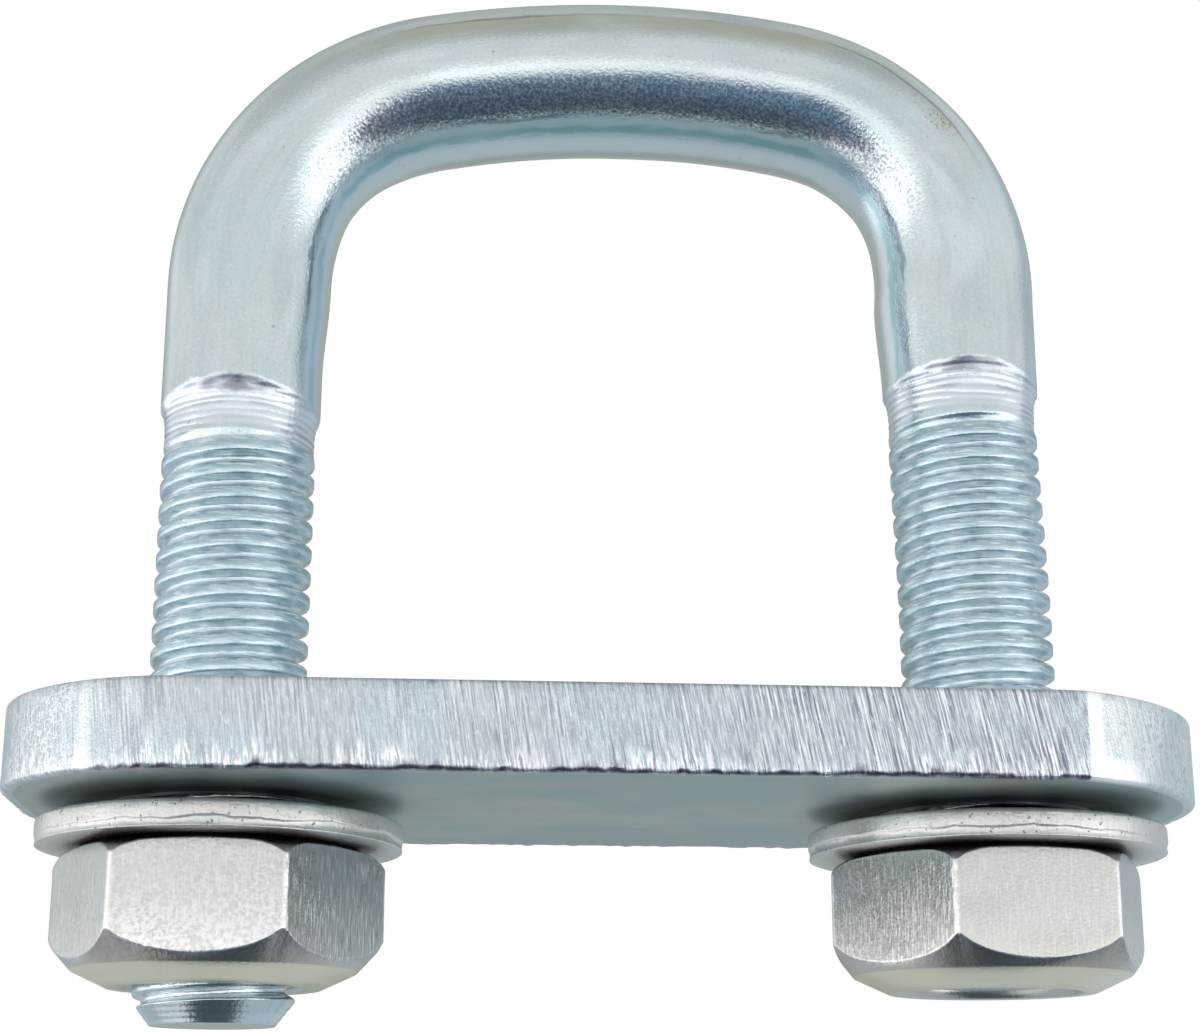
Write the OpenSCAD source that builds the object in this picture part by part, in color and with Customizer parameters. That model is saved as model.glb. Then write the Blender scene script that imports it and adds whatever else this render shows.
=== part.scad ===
// U-bolt clamp: a round bar bent into a U and threaded at both ends, closed by a flat plate,
// with a washer and a hexagon nut under the plate on each leg.
// X runs along the plate and Z runs up the legs towards the crown.
// The origin is the centre of the plate's clamping face, which is its upper face.

/* [Bar] */
// Diameter of the bar at the crown
bar_d = 10; // [9.8:0.1:10.4]
// How much thinner the bar is drawn in the shoulders, and again in the legs
bend_thinning = 0.06; // [0.05:0.01:0.1]
// Distance between the axes of the two legs
leg_spacing = 46; // [44:0.5:48]
// Height of the bar's centreline at the crown above the clamping face
crown_height = 43.5; // [42:0.5:60]
// Radius of each shoulder bend at the bar's centreline
shoulder_r = 14.5; // [12:0.5:15]
// Radius of the shallow crown at the bar's centreline
crown_r = 62; // [50:1:90]
// How far the legs reach below the clamping face, as a mean of both
leg_drop = 16.35; // [16:0.05:18]
// How much longer the left leg is than the right one
leg_difference = 2.5; // [0:0.1:3]

/* [Thread] */
// Diameter over the flattened thread crests
thread_d = 9.4; // [9.2:0.05:9.45]
// Advance of the thread for each turn
pitch = 1.5; // [1.25:0.25:1.75]
// Depth of the thread groove below the crests
groove_depth = 0.6; // [0.3:0.05:0.7]
// Length of full thread on each leg
thread_length = 35; // [30:0.5:36]
// Length of the taper between the thread and the plain bar
runout_length = 3.2; // [1:0.1:4]
// Length of the chamfer at each end of the bar
end_chamfer = 1.4; // [0.5:0.1:2]
// Depth of that chamfer
end_chamfer_depth = 1.1; // [0.5:0.1:1.6]

/* [Plate] */
// Length of the plate
plate_length = 70.5; // [68:0.5:80]
// Width of the plate
plate_width = 30; // [25:1:40]
// Thickness of the plate
plate_thickness = 5; // [4:0.5:5]
// Radius of the plate's corners
corner_r = 12; // [5:0.5:12]
// Diameter of the two holes for the legs
plate_hole_d = 11; // [10.8:0.1:12]
// Radius to which the front right corner is ground, about a point on the plate's middle line
ground_r = 16; // [15.5:0.5:20]

/* [Washers] */
// Outer diameter of each washer
washer_d = 21.5; // [20:0.5:24]
// Hole of each washer
washer_hole_d = 10.5; // [10:0.1:11]
// Thickness of each washer
washer_thickness = 1.6; // [1:0.1:2]
// Gap between the plate and each washer
washer_gap = 0.9; // [0.3:0.1:1]

/* [Nuts] */
// Width of each nut across its flats
nut_flats = 17; // [16:0.1:18]
// Diameter over the rounded corners of each nut
nut_corners_d = 19.3; // [19.3:0.1:20.8]
// Height of each nut
nut_height = 8; // [6:0.1:8.4]
// Bore of each nut, just clear of the thread crests
nut_bore_d = 9.55; // [9.5:0.05:10]
// Diameter of the flat ring on the upper end of each nut
nut_upper_ring_d = 16; // [15:0.1:16.4]
// Slope of the chamfer around the upper end
nut_upper_slope = 36; // [20:1:40]
// Diameter of the flat ring on the lower end of each nut
nut_lower_ring_d = 12.4; // [12:0.1:15]
// Slope of the chamfer around the lower end, next to that ring
nut_lower_slope = 25; // [15:1:30]
// Diameter where this chamfer turns into a steeper one
nut_lower_turn_d = 16.6; // [16:0.1:16.9]
// Slope of the steeper chamfer, next to the flats
nut_lower_steep_slope = 50; // [31:1:55]
// Depth of the countersink at each end of a nut's bore
nut_countersink = 0.5; // [0.2:0.1:1]
// Turn of the left nut about its leg
left_nut_turn = -3; // [-30:1:30]
// Turn of the right nut about its leg
right_nut_turn = 5; // [-30:1:30]

/* [Hidden] */
$fn = 96;

bar_r = bar_d / 2;
shoulder_bar_r = bar_r - bend_thinning / 2;
leg_r = bar_r - bend_thinning;
thread_r = thread_d / 2;
leg_x = leg_spacing / 2;

// The shoulder and the crown meet where their common tangent leans by this angle
crown_half_angle = 90 - acos((leg_x - shoulder_r) / (crown_r - shoulder_r));
crown_centre_z = crown_height - crown_r;
shoulder_x = leg_x - shoulder_r;
shoulder_z = crown_centre_z + (crown_r - shoulder_r) * cos(crown_half_angle);

// Each thinner stretch of bar reaches this far into the thicker one
seat = 0.5;
seat_angle = seat / shoulder_r * 180 / PI;

left_end_z = -leg_drop - leg_difference / 2;
right_end_z = -leg_drop + leg_difference / 2;

// A groove has flanks at 30 degrees to its own middle plane, and a flat root
root_r = thread_r - groove_depth;
root_flat = pitch / 6;
groove_width = root_flat + 2 * groove_depth * tan(30);

washer_top_z = -plate_thickness - washer_gap;
nut_top_z = washer_top_z - washer_thickness;

zinc_blue = [0.76, 0.82, 0.83];
zinc_plate = [0.72, 0.78, 0.79];
zinc_grey = [0.78, 0.78, 0.76];

// Points of one thread groove centred at height z, from its upper edge down
function groove(z) = [
    [thread_r, z + groove_width / 2],
    [root_r, z + root_flat / 2],
    [root_r, z - root_flat / 2],
    [thread_r, z - groove_width / 2]
];

// Half outline of a straight leg from the shoulder down to its chamfered end
function leg_outline(end_z) =
    let (
        thread_top = end_z + thread_length,
        first_groove = thread_top - pitch / 2,
        groove_count = floor((thread_length - end_chamfer - pitch / 2) / pitch)
    )
    concat(
        [
            [0, shoulder_z + seat],
            [leg_r, shoulder_z + seat],
            [leg_r, thread_top + runout_length],
            [thread_r, thread_top]
        ],
        [for (i = [0 : groove_count - 1]) each groove(first_groove - i * pitch)],
        [
            [thread_r, end_z + end_chamfer],
            [thread_r - end_chamfer_depth, end_z],
            [0, end_z]
        ]
    );

// Round bar bent about the origin in the XZ plane, from one angle above +X through a sweep
module bent_bar(bend_r, section_r, from, sweep) {
    rotate([90, 0, 0])
        rotate(from)
            rotate_extrude(angle = sweep, $fn = 360)
                translate([bend_r, 0])
                    circle(section_r, $fn = 72);
}

// Right shoulder, from the top of the leg until it is seated in the crown
module shoulder() {
    translate([shoulder_x, 0, shoulder_z])
        bent_bar(shoulder_r, shoulder_bar_r, 0, 90 - crown_half_angle + seat_angle);
}

module threaded_leg(x, end_z) {
    translate([x, 0, 0])
        rotate_extrude()
            polygon(leg_outline(end_z));
}

module u_rod() {
    color(zinc_blue)
        union() {
            translate([0, 0, crown_centre_z])
                bent_bar(crown_r, bar_r, 90 - crown_half_angle, 2 * crown_half_angle);
            shoulder();
            mirror([1, 0, 0])
                shoulder();
            threaded_leg(-leg_x, left_end_z);
            threaded_leg(leg_x, right_end_z);
        }
}

module rounded_outline() {
    square([plate_length - 2 * corner_r, plate_width], center = true);
    square([plate_length, plate_width - 2 * corner_r], center = true);
    for (sx = [-1, 1], sy = [-1, 1])
        translate([sx * (plate_length / 2 - corner_r), sy * (plate_width / 2 - corner_r)])
            circle(corner_r);
}

// What grinding takes off the front right corner
module ground_corner() {
    translate([plate_length / 2 - ground_r, 0])
        difference() {
            translate([0, -plate_width])
                square(plate_width);
            circle(ground_r);
        }
}

module clamp_plate() {
    color(zinc_plate)
        translate([0, 0, -plate_thickness])
            linear_extrude(plate_thickness)
                difference() {
                    rounded_outline();
                    for (sx = [-1, 1])
                        translate([sx * leg_x, 0])
                            circle(d = plate_hole_d);
                    ground_corner();
                }
}

module washer(x) {
    color(zinc_grey)
        translate([x, 0, washer_top_z - washer_thickness])
            linear_extrude(washer_thickness)
                difference() {
                    circle(d = washer_d);
                    circle(d = washer_hole_d);
                }
}

module washer_left() {
    washer(-leg_x);
}

module washer_right() {
    washer(leg_x);
}

// Half section of a round blank with both ends chamfered and both bore mouths countersunk
module nut_section() {
    upper_ring = nut_upper_ring_d / 2;
    lower_ring = nut_lower_ring_d / 2;
    lower_turn = nut_lower_turn_d / 2;
    corner = nut_corners_d / 2;
    bore_r = nut_bore_d / 2;
    upper_drop = (corner - upper_ring) * tan(nut_upper_slope);
    lower_rise = (lower_turn - lower_ring) * tan(nut_lower_slope);
    lower_steep_rise = (corner - lower_turn) * tan(nut_lower_steep_slope);
    polygon([
        [bore_r, nut_countersink],
        [bore_r + nut_countersink, 0],
        [lower_ring, 0],
        [lower_turn, lower_rise],
        [corner, lower_rise + lower_steep_rise],
        [corner, nut_height - upper_drop],
        [upper_ring, nut_height],
        [bore_r + nut_countersink, nut_height],
        [bore_r, nut_height - nut_countersink]
    ]);
}

module nut(x, turn) {
    color(zinc_grey)
        translate([x, 0, nut_top_z - nut_height])
            rotate(turn)
                intersection() {
                    cylinder(h = nut_height, r = nut_flats / sqrt(3), $fn = 6);
                    rotate_extrude()
                        nut_section();
                }
}

module nut_left() {
    nut(-leg_x, left_nut_turn);
}

module nut_right() {
    nut(leg_x, right_nut_turn);
}

u_rod();
clamp_plate();
washer_left();
washer_right();
nut_left();
nut_right();
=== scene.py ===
import math

import bpy
import numpy as np
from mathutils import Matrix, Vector
from mathutils.geometry import delaunay_2d_cdt


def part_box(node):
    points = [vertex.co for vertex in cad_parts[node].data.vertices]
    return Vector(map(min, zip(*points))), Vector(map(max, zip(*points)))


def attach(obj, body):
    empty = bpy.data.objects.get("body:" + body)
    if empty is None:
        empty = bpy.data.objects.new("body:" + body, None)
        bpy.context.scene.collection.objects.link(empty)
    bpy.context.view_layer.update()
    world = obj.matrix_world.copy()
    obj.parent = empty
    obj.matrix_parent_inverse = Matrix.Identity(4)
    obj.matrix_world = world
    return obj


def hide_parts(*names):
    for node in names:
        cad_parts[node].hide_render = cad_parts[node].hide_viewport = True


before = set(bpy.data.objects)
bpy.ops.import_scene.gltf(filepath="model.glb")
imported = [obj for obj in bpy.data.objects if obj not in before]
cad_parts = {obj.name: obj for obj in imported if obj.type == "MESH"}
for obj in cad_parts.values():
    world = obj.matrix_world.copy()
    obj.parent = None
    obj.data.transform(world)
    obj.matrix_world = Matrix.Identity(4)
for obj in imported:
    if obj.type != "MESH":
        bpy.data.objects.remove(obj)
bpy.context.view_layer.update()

# All sizes below are millimetres, and meshes are scaled to metres when they are made
MM = 0.001
TURN = 2 * math.pi
QUARTER = TURN / 4


def box_mm(node):
    """Lowest and highest corner of a CAD node, in millimetres."""
    low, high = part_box(node)
    return np.array(low) / MM, np.array(high) / MM


# Camera at the photograph's viewing angle
IMAGE_WIDTH = 1200
FOCAL_PIXELS = 2192.8
SENSOR_WIDTH = 36
CAMERA_AT = (-11.37, -131.2, -24.3)
CAMERA_TO = (-0.52, 0, 13.57)
CLIP_START = 10

# Floor, far enough below that views from underneath stay above it
FLOOR_Z = -300
FLOOR_HALF = 4000
FLOOR_COLOUR = (0.92, 0.92, 0.92)
FLOOR_ROUGHNESS = 0.9
# What the camera sees on top of the lit floor, so that it meets the white background
FLOOR_LIFT = 0.06

# Lamp, with its power in watts
LAMP_AT = (-200, -250, 600)
LAMP_POWER = 1.6
LAMP_SIZE = 120

# Light tent that the metal shows: wall, roof and a bright horizon with sines of its elevations,
# then soft panels as azimuth, elevation, half angle at full strength, half angle where it ends, colour
WHITE = (1, 1, 1)
TENT_WALL = (0.94, 0.96, 0.97)
TENT_ROOF = (0.66, 0.67, 0.65)
ROOF_RISE = (0.66, 0.87)
HORIZON = (1.5, 1.5, 1.5)
HORIZON_RISE = (-0.37, -0.29)
HORIZON_FALL = (0.21, 0.02)
TENT_PANELS = [
    (70, -28, 68, 80, (0.56, 0.63, 0.69)),
    (90, 26, 16, 48, (0.46, 0.5, 0.47)),
    (90, -14, 8, 18, (0.4, 0.44, 0.43)),
    (-28, -7, 12, 19, (1.9, 1.9, 1.9)),
    (-52, -7, 9, 16, (1.8, 1.8, 1.8)),
    (-128, -7, 9, 16, (1.7, 1.7, 1.7)),
    (-164, -7, 14, 22, (1.9, 1.9, 1.9)),
    (-112, -42, 20, 22, (0.17, 0.155, 0.22)),
    (-88, -38, 26.5, 28, (0.135, 0.22, 0.31)),
    (-56, -41, 22, 24, (0.14, 0.17, 0.22)),
    (-108, -52, 9, 14, (0.2, 0.17, 0.2)),
    (-80, -62, 20, 26, (0.085, 0.12, 0.165)),
    (-90, -84, 18, 32, (0.08, 0.11, 0.13)),
]

# Bar
rod_low, rod_high = box_mm("u_rod")
nut_low, nut_high = box_mm("nut_right")
BAR_R = rod_high[1]
LEG_R = BAR_R - 0.06
LEG_X = (nut_low[0] + nut_high[0]) / 2
LEG_DIFFERENCE = 2.5
LEG_ENDS = {"left": rod_low[2], "right": rod_low[2] + LEG_DIFFERENCE}
SHOULDER_R = 14.5
CROWN_R = 62
# Centres of the shoulders and the crown, and how far the bar leans where they meet
SHOULDER_X = LEG_X - SHOULDER_R
CROWN_LEAN = QUARTER - math.acos(SHOULDER_X / (CROWN_R - SHOULDER_R))
CROWN_Z = rod_high[2] - BAR_R - CROWN_R
SHOULDER_Z = CROWN_Z + (CROWN_R - SHOULDER_R) * math.cos(CROWN_LEAN)
# How far the bend stands out of its design, by its normal's lean from upright in degrees, left to right
BEND_LEAN = (-90, -50, -30, -10, 10, 30, 50, 72, 90)
BEND_STAND = (0, -0.2, -0.3, -0.25, 0.25, 0.4, 0.35, 0, -0.3)
# Height from which the right leg leans in, and how much height that takes
TOE_FROM = 6
TOE_RUN = 16
# How far bending draws the inside of each shoulder in, and pushes it out next to the legs
BEND_DENT = 0.3
BEND_BULGE = 0.35
# Shares of a quarter turn where the dent ends and the bulge starts
DENT_END = 0.85
BULGE_FROM = 0.6
# Length of leg over which the bulge fades out
BULGE_RUN = 6
# Height and length of the bar's slight waves
WAVE = 0.025
WAVE_RUN = 6
# Band around the bar where glints and dark specks are painted on the crown, where it shows its dark
# reflection, and the share of a quarter turn where that ends
SPARKLE_FROM = math.radians(212)
SPARKLE_TO = math.radians(250)
SPARKLE_END = 0.8
# Half width of the duller strip along the inside of the U, and of its paler middle
INNER_STRIP = 3.25
INNER_MIDDLE = 1.2
# Distance of the teal line within that strip from the strip's middle
SECOND_LINE = 2.3
# Where the drawing seam runs around the bar, from the outside of the U towards the back
SEAM_ANGLE = math.radians(302)
# Leans in degrees between which the seam shows, and over which it fades at both ends
SEAM_FROM = -32
SEAM_TO = 66
SEAM_FADE = 20
# A few rust specks on the right shoulder, and how far they spread
RUST_AT = (21.2, -4.5, 39.4)
RUST_REACH = 1.8
# Columns of points around the bar, the distance of rows on its plain stretches, and how far past the
# run-out those start
BAR_SIDES = 96
PLAIN_STEP = 0.5
PLAIN_PAST = 0.4
# Rings that close each end face, as shares of its radius
CAP_SHARES = (0.97, 0.86, 0.6, 0.3, 0.06)

# Thread
THREAD_R = 4.7
PITCH = 1.5
ROWS_PER_PITCH = 20
GROOVE_DEPTH = 0.58
CHIP_DEPTH = 0.02
THREAD_LENGTH = 35
# Height of one crest's upper edge at the front of each leg
CRESTS = {"left": 15.13, "right": 15.82}
# Groove depth as a share of the full depth, at shares of the pitch below a crest's upper edge
PROFILE_AT = (0, 0.05, 0.1, 0.4, 0.47, 0.52, 0.6, 0.66, 0.8, 0.86, 0.95, 1)
PROFILE_DEPTH = (0.14, 0.03, 0, 0.01, 0.06, 0.2, 0.9, 1, 1, 0.88, 0.3, 0.14)
# Length of the run-out, its radius at shares of that length, and the fine rings on it
RUNOUT = 3.2
RUNOUT_AT = (0, 0.2, 0.6, 0.82, 0.94, 1)
RUNOUT_R = (THREAD_R, THREAD_R - 0.09, THREAD_R - 0.07, THREAD_R + 0.03, LEG_R - 0.03, LEG_R)
RUNOUT_RING = 0.42
RUNOUT_RING_DEPTH = 0.05
# Chamfer at each end of the bar, and the turning marks on it
END_CHAMFER = 1.4
END_CHAMFER_DEPTH = 1.1
TOOL_MARK = 0.16
TOOL_MARK_DEPTH = 0.015

# Plate
plate_low, plate_high = box_mm("clamp_plate")
PLATE_BOTTOM, PLATE_TOP = plate_low[2], plate_high[2]
CORNER_R = 12
HOLE_R = 5.5
GROUND_R = 16
# Painted highlight strip on the ground corner: its width, and its height and run along the lower edge
HIGHLIGHT_WIDTH = 1
HIGHLIGHT_HEIGHT = 1.5
HIGHLIGHT_RUN = 5
# Distance of the faint painted highlight line on the front left corner from the plate's middle
LEFT_HIGHLIGHT = 29.4
# Distance of columns around the wall, and how many to each side a normal is the mean of
WALL_STEP = 0.16
NORMAL_REACH = 9
# Rows on the wall, as shares of the way down
WALL_ROWS = np.linspace(0.14, 0.86, 15)
# How far the flat faces are drawn in from the wall
FACE_INSET = 2.2
UPPER_EDGE_R = 0.7
LOWER_EDGE_R = 0.35
# How far score lines lean for each millimetre down, and how much more where they lean most
SCORE_LEAN = 0.12
SCORE_LEAN_MORE = 0.1
# Unevenness of the torn lower edge and of the flat faces
BURR = 0.06
FACE_WAVE = 0.03
# Width of the rounded rim around each hole, and the sides of its wall
HOLE_RIM = 1.2
HOLE_SIDES = 120
# Points on the flat faces: their spacing and their distance from the edges
FACE_SPACING = 2
FACE_CLEARANCE = 0.7
# Kind of triangulation that stays inside given edges, and how near two points count as one
INSIDE_EDGES = 1
SAME_POINT = 1e-6

# Washers
WASHER_HOLE_R = 5.25
WASHER_SIDES = 180
WASHER_SEEDS = {"left": 61, "right": 83}
# Radius of a row of points on both faces, and height of the shear step above the lower one
WASHER_ROW_R = 7.5
SHEAR_STEP = 0.5
# Radius of the painted shade on the upper face near the hole and on the lower face under the nut, and the
# width over which it fades
UPPER_SHADE_R = 7.4
LOWER_SHADE_R = 9.4
SHADE_FADE = 1.2

# Nuts
FLATS = 17
CORNERS_R = 9.74
# Radius over which the rounded corners blend into the flats
CORNER_BLEND = 0.02
NUT_BORE_R = 4.775
NUT_THREAD_DEPTH = 0.4
COUNTERSINK = 0.5
# Heights of the rounded ends above their flat rings, by radius
UPPER_RADII = (8, 8.5, 9.05, 9.5, 9.74)
UPPER_RISE = (0, 0.3, 0.4, 0.75, 1.1)
LOWER_RADII = (6.2, 8.2, 8.3, 8.5, 9, 9.44, 9.74)
LOWER_RISE = (0, 0.93, 1.02, 1.46, 1.78, 2.25, 2.7)
# Rows of points: shares of the way out on the upper end, shares of the way down the flats, radii below
UPPER_ROWS = np.linspace(0, 0.86, 6)
FLAT_ROWS = np.linspace(0, 1, 9)
LOWER_ROWS = (8.3, 8.25, 8.2, 7.5, 6.8, 6.2)
BORE_ROWS_PER_PITCH = 10
# Columns of points from a corner to the middle of a flat, in degrees
CORNER_COLUMNS = (0, 0.7, 1.4, 2.2, 3.2, 4.6, 6.5, 9, 12.5, 16.5, 21, 25.5)
NUT_TURNS = {"left": math.radians(-3), "right": math.radians(5)}
NUT_SEEDS = {"left": 31, "right": 47}
# How strongly each flat shows upright grain and worn specks, counted around from the right of the back
NUT_GRAIN = {"left": (0.5, 0.6, 0.4, 0.3, 0.2, 1), "right": (0.4, 0.6, 0.5, 0.85, 0.15, 0.3)}
NUT_WEAR = {"left": (0.3, 0.5, 0.2, 0.5, 1, 0.2), "right": (0.4, 0.2, 0.5, 1, 0.05, 1)}

# Materials
# How metallic bright zinc is, and the dull zinc of the plate's faces and the washers
BRIGHT = 1.0
DULL = 0.8
# Height of the fine relief on most pieces, and on the sheared wall
FINE_RELIEF = 0.02
WALL_RELIEF = 0.03
# Reach of the painted shade in the gap under the plate, from each leg's axis
GAP_SHADE_FULL = 8
GAP_SHADE_END = 9.5


# Shape helpers


def smooth(share):
    """Smooth step from 0 to 1."""
    share = np.clip(share, 0, 1)
    return share * share * (3 - 2 * share)


def scrambled(x, y, z, seed):
    """A value from -1 to 1 for whole numbers, without any order that shows."""
    value = np.sin(x * 127.1 + y * 311.7 + z * 74.7 + seed * 19.19) * 43758.5453
    return 2 * (value - np.floor(value)) - 1


def noise(x, y, z, seed):
    """Smooth noise from -1 to 1 with cells of size one."""
    corner_x, corner_y, corner_z = np.floor(x), np.floor(y), np.floor(z)
    weights = [(1 - w, w) for w in (smooth(x - corner_x), smooth(y - corner_y), smooth(z - corner_z))]
    total = 0
    for i, j, k in np.ndindex(2, 2, 2):
        value = scrambled(corner_x + i, corner_y + j, corner_z + k, seed)
        total = total + value * weights[0][i] * weights[1][j] * weights[2][k]
    return total


def ring_noise(angle, radius, height, seed):
    """Noise around a ring, with its radius and height counted in cells."""
    return noise(np.cos(angle) * radius, np.sin(angle) * radius, height, seed)


def rounded(points, fillets):
    """A closed outline with rounded corners: points is (corner, column, 2), fillets one length per corner."""
    # Pieces of each fillet, and the largest share of an edge that it takes up
    steps = 4
    longest = 0.45
    before = np.roll(points, 1, axis=0)
    after = np.roll(points, -1, axis=0)
    rows = []
    for corner, fillet in enumerate(fillets):
        here = points[corner]
        if fillet == 0:
            rows.append(here)
            continue
        ends = []
        for edge in (before[corner] - here, after[corner] - here):
            length = np.linalg.norm(edge, axis=-1, keepdims=True)
            ends.append(here + edge / length * np.minimum(fillet, longest * length))
        for share in np.linspace(0, 1, steps + 1):
            rows.append((1 - share) ** 2 * ends[0] + 2 * share * (1 - share) * here + share ** 2 * ends[1])
    return np.array(rows)


def new_object(name, data):
    """An object in the scene for a mesh, lamp or camera."""
    made = bpy.data.objects.new(name, data)
    bpy.context.scene.collection.objects.link(made)
    return made


def make_mesh(name, points, faces, uvs, marks, materials, face_material=None):
    """A piece from points in millimetres, with named marks on its points for the materials to read."""
    faces = [np.asarray(face).tolist() for face in faces]
    corners = points[np.array([face[:3] for face in faces])]
    volume = np.einsum("ij,ij->i", corners[:, 0], np.cross(corners[:, 1], corners[:, 2])).sum()
    if volume < 0:
        faces = [face[::-1] for face in faces]
        uvs = [uv[::-1] for uv in uvs]
    mesh = bpy.data.meshes.new(name)
    mesh.from_pydata((points * MM).tolist(), [], faces)
    layer = mesh.uv_layers.new(name="UVMap")
    flat_uvs = np.concatenate([np.asarray(uv) for uv in uvs]).astype(np.float32).ravel()
    layer.data.foreach_set("uv", flat_uvs * MM)
    for mark, values in marks.items():
        attribute = mesh.attributes.new(mark, "FLOAT", "POINT")
        attribute.data.foreach_set("value", np.asarray(values, np.float32).ravel())
    for material in materials:
        mesh.materials.append(material)
    if face_material is not None:
        mesh.polygons.foreach_set("material_index", np.asarray(face_material, np.int32))
    mesh.shade_smooth()
    mesh.validate()
    return new_object(name, mesh)


def ring_faces(row_count, column_count, wrap_rows, first=0):
    """Quads of a grid of rings, each ring closed."""
    ids = np.arange(row_count * column_count).reshape(row_count, column_count) + first
    if wrap_rows:
        ids = np.concatenate([ids, ids[:1]])
    beside = np.roll(ids, -1, axis=1)
    return np.stack([ids[:-1], beside[:-1], beside[1:], ids[1:]], axis=-1).reshape(-1, 4)


def grid_uvs(u, v):
    """UV corners for ring_faces from a grid that has one more column than the rings."""
    grid = np.stack([u, v], axis=-1)
    corners = np.stack([grid[:-1, :-1], grid[:-1, 1:], grid[1:, 1:], grid[1:, :-1]], axis=2)
    return corners.reshape(-1, 4, 2)


def make_rings(name, points, across, along, marks, material):
    """A piece from closed rings of points, the last of which meets the first."""
    faces = ring_faces(*points.shape[:2], True)
    uvs = grid_uvs(*np.meshgrid(across, np.append(along, 2 * along[-1] - along[-2])))
    return make_mesh(name, points.reshape(-1, 3), list(faces), list(uvs), marks, [material])


def path_length(points):
    """Distance along a row of points."""
    steps = np.linalg.norm(np.diff(points, axis=0), axis=-1)
    return np.concatenate([[0], np.cumsum(steps)])


def arc(centre, radius, start, stop, step):
    """Points and outward normals along an arc in a plane, without its last point."""
    count = int(radius * abs(stop - start) / step)
    angle = np.linspace(start, stop, count, endpoint=False)
    normal = np.stack([np.cos(angle), np.sin(angle)], axis=-1)
    return np.array(centre) + radius * normal, normal


# Bar


def leg_path(side, direction):
    """Points and outward normals up a leg in the XZ plane: fine on the thread and run-out, coarse above."""
    end = LEG_ENDS[side]
    fine_top = end + THREAD_LENGTH + RUNOUT + PLAIN_PAST
    fine = np.arange(end, fine_top, PITCH / ROWS_PER_PITCH)
    height = np.concatenate([fine, np.arange(fine_top, SHOULDER_Z, PLAIN_STEP)])
    points = np.stack([np.full_like(height, direction * LEG_X), height], axis=-1)
    return points, np.tile((float(direction), 0.0), (len(height), 1))


def thread_turns(height, around, side):
    """Pitches from a crest's upper edge down to a height, at an angle about the leg."""
    return (CRESTS[side] + PITCH * (around + QUARTER) / TURN - height) / PITCH


def thread_depth(turns):
    """Groove depth as a share of the full depth, by pitches below a crest's upper edge."""
    return np.interp(turns % 1, PROFILE_AT, PROFILE_DEPTH)


def inner_side(theta):
    """1 on the inside of the U, fading to 0 on its outside."""
    return ((1 - np.cos(theta)) / 2) ** 3


def leg_surface(height, theta, side):
    """Radius of a leg and its marks, where theta turns from the outside of the U towards the back."""
    around = math.pi - theta if side == "left" else theta
    end = LEG_ENDS[side]
    thread_top = end + THREAD_LENGTH
    # The border of the run-out is ragged, and lies lower at the sides than in front
    over = (height - thread_top) / RUNOUT
    over = over + 0.05 * np.sin(around + 0.6) + 0.15 * (1 + np.cos(2 * around))
    over = over + 0.04 * ring_noise(around, 11, 0, 6)
    drift = ring_noise(around, 0.8, height * 1.1, 4)
    rings = np.sin((height - thread_top) / RUNOUT_RING * math.pi + 1.6 * drift) ** 2
    rings = rings * (0.3 + 0.7 * smooth(0.5 + ring_noise(around, 1, height * 2.3, 8)))
    rings = rings * smooth(over * 4 + 0.6) * smooth((0.99 - over) * 8)
    wobble = ring_noise(around, 2, height * 1.3, 3)
    turns = thread_turns(height, around, side)
    groove = thread_depth(turns)
    fade = smooth((thread_top + 0.1 - height) / (1.6 * PITCH))
    chips = np.maximum(ring_noise(around, 6, height * 2.2, 5), 0)
    radius = np.interp(over, RUNOUT_AT, RUNOUT_R) - GROOVE_DEPTH * groove * fade
    radius = radius - RUNOUT_RING_DEPTH * rings * (1 + 0.5 * wobble)
    radius = radius - CHIP_DEPTH * fade * (1 - groove) * chips
    from_end = height - end
    chamfer = THREAD_R - END_CHAMFER_DEPTH * (1 - from_end / END_CHAMFER)
    chamfer = chamfer + TOOL_MARK_DEPTH * np.sin(from_end / TOOL_MARK * math.pi)
    radius = np.where(from_end < END_CHAMFER, np.minimum(radius, chamfer), radius)
    near_shoulder = smooth((height - SHOULDER_Z + BULGE_RUN) / BULGE_RUN)
    radius = radius + BEND_BULGE * inner_side(theta) * near_shoulder

    thread = smooth((thread_top + 0.2 - height) / 1.2) * smooth((height - PLATE_BOTTOM) / 3)
    in_front = smooth(1 - np.abs((around + QUARTER + math.pi) % TURN - math.pi) / 0.9)
    # A dark band on the run-out's upper step, strongest at the front: a painted reflection
    step = smooth((over - 0.84 + 0.24 * in_front) / 0.1) * smooth((1.01 - over) / 0.06)
    marks = {
        "thread": thread,
        "groove": groove * fade,
        "runout": smooth(over * 4 + 0.3) * smooth((1.0 - over) / 0.05),
        "ring": rings,
        "step": step * (0.4 + 0.6 * in_front),
        # Painted shade on the upper part of each crest
        "shade": smooth((0.36 - turns % 1) / 0.16) * (1 - groove) * thread,
        # White upper edge of each crest: partly wear, partly a painted highlight
        "edge": smooth(1.4 - np.abs((turns + 0.5) % 1 - 0.51) / 0.05) * thread * fade,
        # Painted shade where the leg passes the gap under the plate's lower mouth
        "gap": smooth(1.3 - np.abs(height - PLATE_BOTTOM) / 1.1),
    }
    return radius, marks


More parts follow.
